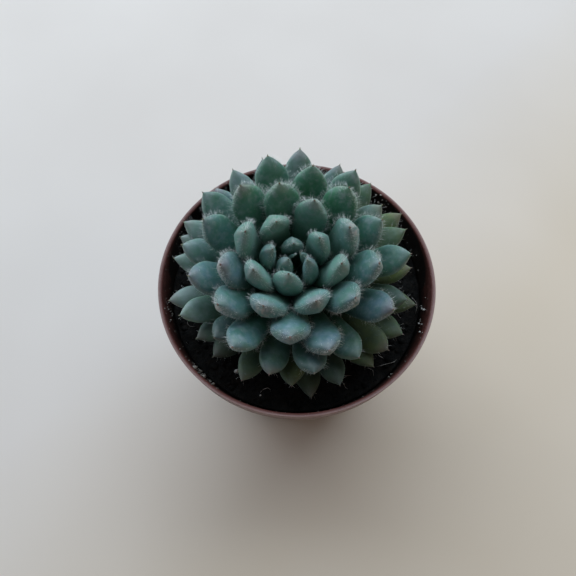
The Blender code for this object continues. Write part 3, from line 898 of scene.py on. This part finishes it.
def make_dust(material, draws):
    """Pale specks on the inner wall above the soil, half of them larger flakes of crust in patches."""
    places = []
    for speck in range(DUST_COUNT):
        angle = draws.uniform(0.0, math.tau)
        sizes = DUST_SIZES
        if speck % 2:
            angle = math.radians(draws.choice(DUST_PATCHES) + draws.gauss(0.0, DUST_PATCH_SPREAD))
            sizes = CRUST_SIZES
        size = mix(*sizes, draws.random() ** DUST_POWER)
        height = mix(SOIL_LEVEL, POT_HEIGHT - DUST_BELOW_LIP, draws.random() ** DUST_HEIGHT_POWER)
        places.append((on_wall(angle, height, DUST_LIFT * size), size))
    return make_lumps("dust_specks", places, material, 1, draws, flat=0.8, rough=0.5)


# Rosette

def make_stem(material):
    """The stem: upright in its hole, then leaning with the plant, with the rings of old leaf scars."""
    vertices = []
    for height in (-STEM_DEPTH, -STEM_BEND):
        vertices += [point + STEM_FOOT for point in circle(STEM_RADIUS, height, STEM_SIDES)]
    radii, heights = zip(*STEM_STATIONS)
    for ring in range(STEM_RINGS):
        height = mix(heights[0], heights[-1], ring / (STEM_RINGS - 1))
        radius = float(np.interp(height, heights, radii))
        if ring % SCAR_SPACING == 0:
            radius -= SCAR_DEPTH
        vertices += [LEAN @ point + STEM_FOOT for point in circle(radius, height, STEM_SIDES)]
    return new_piece("stem", vertices, closed_loft(STEM_RINGS + 2, STEM_SIDES), material)


def leaf_plan(number, draws):
    """Where one leaf starts and ends, and how wide and curled it is."""
    age = max(number, 0) / OUTER_LEAF
    odd = ODD_LEAVES.get(number, {})
    azimuth = FIRST_AZIMUTH - DIVERGENCE * number + DIVERGENCE_DRIFT * age * age
    azimuth += math.radians(odd.get("turn", 0))
    bowed = math.radians(odd.get("curl", 0))
    tip_radius = odd.get("reach", 0.0) * MM + sum(size * age ** power for size, power in TIP_RADIUS_TERMS)
    if number < 0:
        tip_radius *= (number + BUD_COUNT) / BUD_COUNT
    tip_height = odd.get("lift", 0.0) * MM + sum(size * age ** power for size, power in TIP_HEIGHT_TERMS)
    grown = min(age, 1.0)
    broad = clamp(number / SLENDER_FROM)
    flat = clamp(number / FLAT_FROM)
    curl = mix(INNER_TIP_CURL, OUTER_TIP_CURL, grown)
    width = LEAF_WIDTH * (1.0 - math.exp(-(number + BUD_START) / BUD_LEAVES))
    narrowing = clamp((age - NARROWING_START) / (NARROWING_END - NARROWING_START))
    width *= 1.0 - OUTER_NARROWING * narrowing
    return {
        "number": number,
        "age": age,
        "azimuth": azimuth,
        "root": (mix(ROOT_TOP_RADIUS, ROOT_LOW_RADIUS, math.sqrt(grown)), mix(ROOT_TOP, ROOT_LOW, grown)),
        "tip": (tip_radius, tip_height),
        "width": width * odd.get("wide", 1.0) * (1.0 + draws.uniform(-WIDTH_VARIES, WIDTH_VARIES)),
        "bluntness": mix(INNER_BLUNTNESS, OUTER_BLUNTNESS, grown),
        "root_curl": mix(INNER_ROOT_CURL, OUTER_ROOT_CURL, grown) + bowed,
        "tip_curl": curl * (1.0 + draws.uniform(-CURL_VARIES, CURL_VARIES)) + bowed,
        "roll": math.radians(odd.get("twist", 0) + draws.uniform(-ROLL_VARIES, ROLL_VARIES)),
        "root_share": mix(BUD_ROOT_SHARE, ROOT_WIDTH_SHARE, broad),
        "upper_share": mix(BUD_UPPER_SHARE, UPPER_BULGE_SHARE, flat),
        "lower_share": mix(BUD_LOWER_SHARE, LOWER_BULGE_SHARE, flat),
    }


def midline(plan):
    """A leaf's middle line as a curve of three points, and how far along it each step of t lies."""
    root = np.array(plan["root"])
    tip = np.array(plan["tip"])
    chord = tip - root
    below = np.array((chord[1], -chord[0]))
    root_curl = plan["root_curl"]
    tip_curl = plan["tip_curl"]
    direction = chord * math.cos(root_curl) + below * math.sin(root_curl)
    bend = root + direction * (math.sin(tip_curl) / math.sin(tip_curl + root_curl))
    t = np.linspace(0.0, 1.0, MIDLINE_STEPS + 1)[:, None]
    line = curve(root, bend, tip, t)
    lengths = np.linalg.norm(np.diff(line, axis=0), axis=1)
    return root, bend, tip, np.concatenate(([0.0], np.cumsum(lengths)))


def leaf_rings(plan):
    """Shares of the leaf's length at which its rings lie, closer together towards the tip."""
    length = midline(plan)[3][-1]
    widest = 1.0 - min(TIP_LENGTH / length, TIP_LENGTH_SHARE)
    blade = widest * np.linspace(0.0, 1.0, BLADE_RINGS)
    to_tip = TIP_END * np.sin(0.5 * math.pi * np.linspace(0.0, 1.0, TIP_RINGS + 1)[1:])
    return np.concatenate((blade, widest + (1.0 - widest) * to_tip)), widest


def leaf_grid(plan):
    """Points of a leaf's skin in the plant's frame, one row a ring, and the share of its length."""
    root, bend, tip, run = midline(plan)
    shares, widest = leaf_rings(plan)
    steps = np.linspace(0.0, 1.0, MIDLINE_STEPS + 1)
    t = np.interp(shares * run[-1], run, steps)[:, None]
    middle = curve(root, bend, tip, t)
    heading = (bend - root) * (1 - t) + (tip - bend) * t
    heading /= np.linalg.norm(heading, axis=1)[:, None]

    to_widest = np.minimum(shares / widest, 1.0)
    to_tip = np.clip((shares - widest) / (1.0 - widest), 0.0, 1.0)
    waist = mix(plan["root_share"], 1.0, np.sin(0.5 * math.pi * to_widest) ** WAIST_POWER)
    spread = (waist * (1.0 - to_tip ** plan["bluntness"]))[:, None]
    thick = (waist * (1.0 - to_tip ** (THICK_TIP * plan["bluntness"])))[:, None]
    keel = (KEEL_SHARE * to_widest ** 2)[:, None]
    width = plan["width"]

    angles = math.tau * np.arange(LEAF_SIDES) / LEAF_SIDES
    across = np.cos(angles)[None, :]
    up = np.sin(angles)[None, :]
    round_side = np.abs(up) ** EDGE_POWER
    side = 0.5 * width * spread * across
    upper = plan["upper_share"] * width * thick * round_side
    lower = -plan["lower_share"] * width * thick * mix(round_side, 1.0 - np.abs(across), keel)
    lift = np.where(up >= 0.0, upper, lower)
    roll = plan["roll"]
    side, lift = side * math.cos(roll) - lift * math.sin(roll), side * math.sin(roll) + lift * math.cos(roll)
    points = np.stack((
        middle[:, :1] - heading[:, 1:] * lift,
        side,
        middle[:, 1:] + heading[:, :1] * lift), axis=-1)
    return points, shares, heading[-1], np.array(tip)


def mucro_grid(heading, tip, share):
    """The short hard point at the end of a leaf, of that share of the full size."""
    rings = []
    angles = math.tau * np.arange(LEAF_SIDES) / LEAF_SIDES
    for reach, radius in MUCRO_STATIONS:
        out = tip + heading * MUCRO_LENGTH * reach * share
        side = MUCRO_RADIUS * radius * share * np.cos(angles)
        lift = MUCRO_RADIUS * radius * share * np.sin(angles)
        rings.append(np.stack((out[0] - heading[1] * lift, side, out[1] + heading[0] * lift), axis=-1))
    return np.stack(rings)


def place_leaf(points, plan):
    """Turn points from a leaf's own plane to its place on the leaning plant."""
    turn = np.array(LEAN @ Matrix.Rotation(plan["azimuth"], 3, "Z"))
    return points @ turn.T + np.array(STEM_FOOT)


def grid_normals(points):
    """Outward directions of a skin of closed rings."""
    along = np.gradient(points, axis=0)
    around = np.roll(points, -1, axis=1) - np.roll(points, 1, axis=1)
    normals = np.cross(around, along)
    length = np.linalg.norm(normals, axis=-1, keepdims=True)
    return normals / np.maximum(length, 1e-12)


def dent(points, normals):
    """Soft dents and swellings of a fleshy skin."""
    flat = points.reshape(-1, 3)
    depth = np.array([noise.noise(Vector(p) / DENT_SIZE) for p in flat]).reshape(points.shape[:2])
    return points + normals * (depth * DENT_DEPTH)[..., None]


def make_leaves(material):
    """All the leaves in one piece, with what the bristles need to stand on them."""
    draws = random.Random(GROWTH_SEED)
    angles = math.tau * np.arange(LEAF_SIDES) / LEAF_SIDES
    rim = np.abs(np.cos(angles))
    below = np.maximum(-np.sin(angles), 0.0)
    vertices = []
    faces = []
    places = []
    chances = []
    unders = []
    beds = []
    for number in range(-BUD_COUNT, LEAF_COUNT):
        plan = leaf_plan(number, draws)
        points, shares, heading, tip = leaf_grid(plan)
        mucro = place_leaf(mucro_grid(heading, tip, plan["width"] / LEAF_WIDTH), plan)
        points = place_leaf(points, plan)
        normals = grid_normals(points)
        points = dent(points, normals)
        beds.append((plan, points, normals, shares))
        rings = len(points) + len(mucro)
        faces += inside_out(closed_loft(rings, LEAF_SIDES, len(vertices)))
        vertices += [tuple(point) for point in np.concatenate((points, mucro)).reshape(-1, 3)]
        age = min(plan["age"], 1.0)
        for along in list(shares) + [MUCRO_ALONG] * len(mucro):
            places += [(along, across, age, SHADED_LEAVES.get(number, 1.0)) for across in rim]
        chances += [noise.cell(Vector((number * COLOUR_STEP + 0.5, 0.5, 0.5)))] * (rings * LEAF_SIDES)
        dryness = 1.0 if number in FRINGED_LEAVES else SOUND_LEAF_DRYNESS
        unders += list(below * dryness) * rings
    leaves = new_piece("rosette_leaves", vertices, faces, material)
    # Share of the length, nearness to the margin, age and brightness kept under painted shade
    place = leaves.data.attributes.new("leaf_place", "FLOAT_COLOR", "POINT")
    place.data.foreach_set("color", np.array(places, dtype=np.float32).ravel())
    add_values(leaves, "leaf_chance", chances)
    add_values(leaves, "leaf_under", unders)
    return leaves, beds


# Bristles

def add_bristle(vertices, faces, root, direction, length, radius):
    """One straight hair: a long, thin, closed spike, its foot just under the skin."""
    first = len(vertices)
    foot = root - direction * BRISTLE_SINK * radius
    vertices += ring_round(foot, direction, radius, BRISTLE_SIDES)
    vertices.append(root + direction * length)
    faces.append(tuple(reversed(range(first, first + BRISTLE_SIDES))))
    for side in range(BRISTLE_SIDES):
        faces.append((first + side, first + (side + 1) % BRISTLE_SIDES, first + BRISTLE_SIDES))


def bristle_spot(kind, reach, spread, fringed, draws):
    """Where on a leaf a bristle stands: share of length and angle round the section."""
    if kind == "margin":
        share = mix(*reach, draws.random() ** MARGIN_CROWDING)
    else:
        share = draws.uniform(*reach)
    if kind == "face":
        angle = draws.uniform(0.0, math.tau)
    elif kind == "fringe":
        below = math.radians(draws.gauss(FRINGE_ANGLE, spread))
        angle = math.pi + below if fringed else -below
    else:
        angle = math.radians(draws.gauss(0.0, spread)) + math.pi * draws.randrange(2)
    return share, angle


def hairiness(plan):
    """Shares of the full number and length of bristles that a leaf has."""
    young = min(max(plan["number"] + BRISTLES_START, FEWEST_BRISTLES) / BRISTLES_GROWN, 1.0)
    fallen = clamp((plan["age"] - BRISTLES_THIN_FROM) / (BRISTLES_THIN_TO - BRISTLES_THIN_FROM))
    rubbed = FRONT_RUBBED * max(-math.sin(plan["azimuth"]), 0.0)
    number = young * mix(1.0, OLD_BRISTLES, fallen) * (1.0 - rubbed)
    length = mix(YOUNG_LENGTH, 1.0, young) * mix(1.0, OLD_LENGTH, min(plan["age"], 1.0))
    return number, length


def make_bristles(beds, material):
    """Hairs that lean towards each leaf's tip: long along margins and tip, short on the faces."""
    draws = random.Random(BRISTLE_SEED)
    vertices = []
    faces = []
    for plan, points, normals, shares in beds:
        fringed = FRINGED_LEAVES.get(plan["number"])
        kinds = BRISTLE_KINDS if fringed is None else (*BRISTLE_KINDS, FRINGE_KIND)
        number_share, length_share = hairiness(plan)
        for kind, count, size, reach, spread in kinds:
            radius = FRINGE_RADIUS if kind == "fringe" else BRISTLE_RADIUS
            for _ in range(int(count * number_share)):
                share, angle = bristle_spot(kind, reach, spread, fringed, draws)
                row = float(np.interp(share, shares, np.arange(len(shares))))
                ring = min(int(row), len(shares) - 2)
                side = int(round(angle / math.tau * LEAF_SIDES)) % LEAF_SIDES
                root = Vector(mix(points[ring, side], points[ring + 1, side], row - ring))
                along = Vector(points[ring + 1].mean(axis=0) - points[ring].mean(axis=0)).normalized()
                scatter = Vector([draws.gauss(0.0, BRISTLE_SCATTER) for _ in range(3)])
                direction = (Vector(normals[ring, side]) + along * BRISTLE_LEAN + scatter).normalized()
                length = size * draws.uniform(*BRISTLE_LENGTHS) * length_share
                add_bristle(vertices, faces, root, direction, length, radius)
    return new_piece("leaf_bristles", vertices, faces, material)


# Stage

def make_floor(material):
    corners = [(x * FLOOR_HALF, y * FLOOR_HALF, 0.0) for x, y in ((-1, -1), (1, -1), (1, 1), (-1, 1))]
    return new_piece("floor", corners, [(0, 1, 2, 3)], material, smooth=False)


def add_light(name, place, size, energy, colour):
    light = bpy.data.lights.new(name, "AREA")
    light.shape = "RECTANGLE"
    light.size, light.size_y = size
    light.energy = energy
    light.color = colour
    item = new_object(name, light)
    item.location = place
    item.rotation_euler = (LIGHT_AIM - Vector(place)).to_track_quat("-Z", "Y").to_euler()


def add_lights():
    """Cool windows behind the plant and to its left, a weak warm fill from the right, and a pale sky."""
    for light in LIGHTS:
        add_light(*light)
    world = bpy.data.worlds.new("sky")
    world.use_nodes = True
    background = world.node_tree.nodes["Background"]
    background.inputs["Color"].default_value = SKY_COLOUR
    background.inputs["Strength"].default_value = SKY_STRENGTH
    bpy.context.scene.world = world


def add_camera():
    """The camera at the photo's viewing angle."""
    data = bpy.data.cameras.new("camera")
    data.lens = CAMERA_LENS
    data.sensor_width = CAMERA_SENSOR
    data.clip_start = CAMERA_NEAR
    camera = new_object("camera", data)
    forward = CAMERA_AIM.normalized()
    right = forward.cross(Vector((0.0, 0.0, 1.0))).normalized()
    up = right.cross(forward)
    camera.location = CAMERA_PLACE
    camera.rotation_euler = Matrix((right, up, -forward)).transposed().to_euler()
    bpy.context.scene.camera = camera


def add_piece(piece, slot, *nodes):
    """Fix a piece to the one body, in place of the CAD nodes named. The slot is not used."""
    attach(piece, "root")
    if nodes:
        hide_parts(*nodes)


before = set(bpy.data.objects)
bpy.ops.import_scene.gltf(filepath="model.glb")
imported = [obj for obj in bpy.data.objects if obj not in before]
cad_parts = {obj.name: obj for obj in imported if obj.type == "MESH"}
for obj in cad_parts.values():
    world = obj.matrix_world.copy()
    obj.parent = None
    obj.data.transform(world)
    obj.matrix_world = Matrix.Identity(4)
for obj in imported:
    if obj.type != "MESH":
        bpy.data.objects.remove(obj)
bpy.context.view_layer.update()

add_piece(make_pot(pot_material()), "pot_plastic", "pot")
soil_skin = soil_material()
add_piece(make_soil(soil_skin), "soil_mix", "soil")
scatter = random.Random(SCATTER_SEED)
add_piece(make_crumbs(soil_skin, scatter), "soil_mix")
add_piece(make_perlite(perlite_material(), scatter), None)
add_piece(make_fibres(fibre_material(), scatter), None)
add_piece(make_dust(dust_material(), scatter), None)
rosette_leaves, leaf_beds = make_leaves(leaf_material())
add_piece(rosette_leaves, "leaf_skin", "rosette")
add_piece(make_stem(stem_material()), None, "rosette")
add_piece(make_bristles(leaf_beds, bristle_material()), None)

make_floor(floor_material())
add_lights()
add_camera()
bpy.context.scene.view_settings.view_transform = "Standard"
